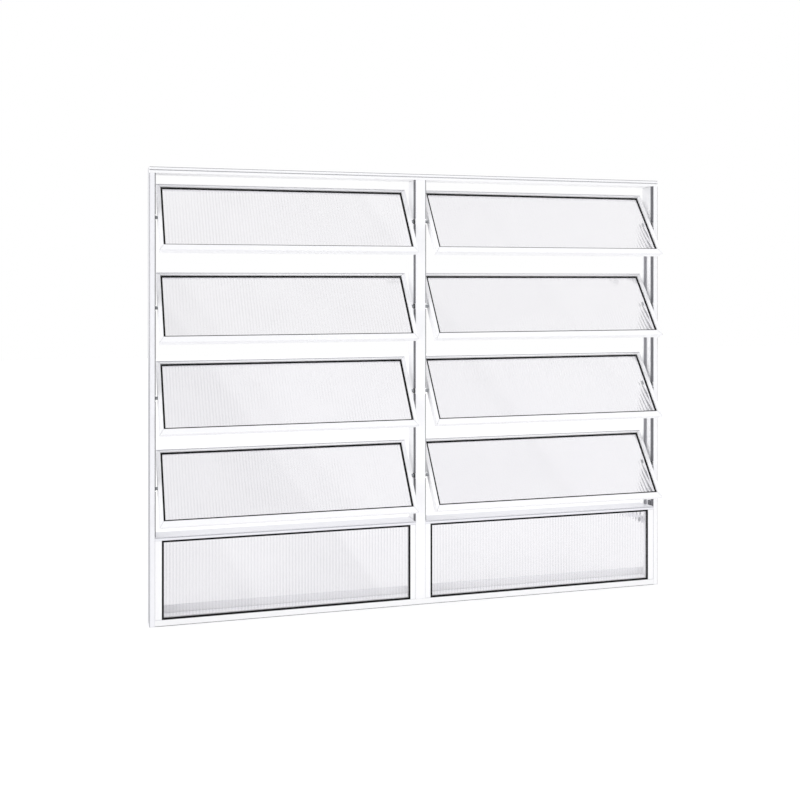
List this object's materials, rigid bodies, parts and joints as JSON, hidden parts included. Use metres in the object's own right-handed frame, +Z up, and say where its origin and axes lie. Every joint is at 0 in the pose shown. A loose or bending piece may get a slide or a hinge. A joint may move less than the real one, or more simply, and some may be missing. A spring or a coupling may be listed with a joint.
{
  "type": "horizontal pivot window",
  "caption": "White aluminium window whose reeded glass sashes turn together on horizontal pivots over fixed lights, moved by a hand lever and an upright bar.",
  "frame": {"origin": "middle of the sill's underside, half way through the frame's depth", "axes": "+X along the width, to the right as seen from outdoors; +Z up; -Y outdoors"},
  "size_m": [1, 0.1569, 0.812],
  "materials": {
    "frame": "white powder coat",
    "sash": "white powder coat",
    "glass": "reeded",
    "gasket": "matt black",
    "seal": "black pile",
    "bush": "moulded nylon",
    "steel": "zinc plated",
    "bar": "black paint",
    "lever": "white enamel"
  },
  "bodies": {
    "frame": {"left_jamb": "frame", "right_jamb": "frame", "head_rail": "frame", "sill_rail": "frame", "mullion": "frame", "left_transom": "frame", "right_transom": "frame", "fixed_light_beads": "frame", "left_fixed_glass": "glass", "right_fixed_glass": "glass", "fixed_light_gaskets": "gasket", "side_seals": "seal", "pivot_bushes": "bush", "lever_pin": "steel"},
    "row_1": {"left_sash_1": "sash", "right_sash_1": "sash", "left_glass_1": "glass", "right_glass_1": "glass", "row_1_gaskets": "gasket", "row_1_shafts": "steel", "row_1_lug": "steel"},
    "row_2": {"left_sash_2": "sash", "right_sash_2": "sash", "left_glass_2": "glass", "right_glass_2": "glass", "row_2_gaskets": "gasket", "row_2_shafts": "steel", "row_2_lug": "steel"},
    "row_3": {"left_sash_3": "sash", "right_sash_3": "sash", "left_glass_3": "glass", "right_glass_3": "glass", "row_3_gaskets": "gasket", "row_3_shafts": "steel", "row_3_lug": "steel"},
    "row_4": {"left_sash_4": "sash", "right_sash_4": "sash", "left_glass_4": "glass", "right_glass_4": "glass", "row_4_gaskets": "gasket", "row_4_shafts": "steel", "row_4_lug": "steel"},
    "bar": {"operating_bar": "bar"},
    "lever": {"lever": "lever"}
  },
  "joints": [
    {"name": "row_1_pivot", "type": "hinge", "parent": "frame", "child": "row_1", "pos_m": [0, -0.014, 0.7227], "axis": [-1, 0, 0], "range_deg": [-37.5, 37.5]},
    {"name": "row_2_pivot", "type": "hinge", "parent": "frame", "child": "row_2", "pos_m": [0, -0.014, 0.56273], "axis": [-1, 0, 0], "range_deg": [-37.5, 37.5]},
    {"name": "row_3_pivot", "type": "hinge", "parent": "frame", "child": "row_3", "pos_m": [0, -0.014, 0.40277], "axis": [-1, 0, 0], "range_deg": [-37.5, 37.5]},
    {"name": "row_4_pivot", "type": "hinge", "parent": "frame", "child": "row_4", "pos_m": [0, -0.014, 0.2428], "axis": [-1, 0, 0], "range_deg": [-37.5, 37.5]},
    {"name": "bar_pivot", "type": "hinge", "parent": "row_1", "child": "bar", "pos_m": [0.4884, 0.009, 0.7227], "axis": [-1, 0, 0], "range_deg": [-37.5, 37.5]},
    {"name": "lever_pivot", "type": "hinge", "parent": "frame", "child": "lever", "pos_m": [0.482, 0.018, 0.124], "axis": [-1, 0, 0], "range_deg": [-37.5, 37.5]}
  ],
  "couplings": [
    {"joint": "row_2_pivot", "follows": "row_1_pivot", "ratio": 1},
    {"joint": "row_3_pivot", "follows": "row_1_pivot", "ratio": 1},
    {"joint": "row_4_pivot", "follows": "row_1_pivot", "ratio": 1},
    {"joint": "bar_pivot", "follows": "row_1_pivot", "ratio": -1},
    {"joint": "lever_pivot", "follows": "row_1_pivot", "ratio": 1}
  ]
}
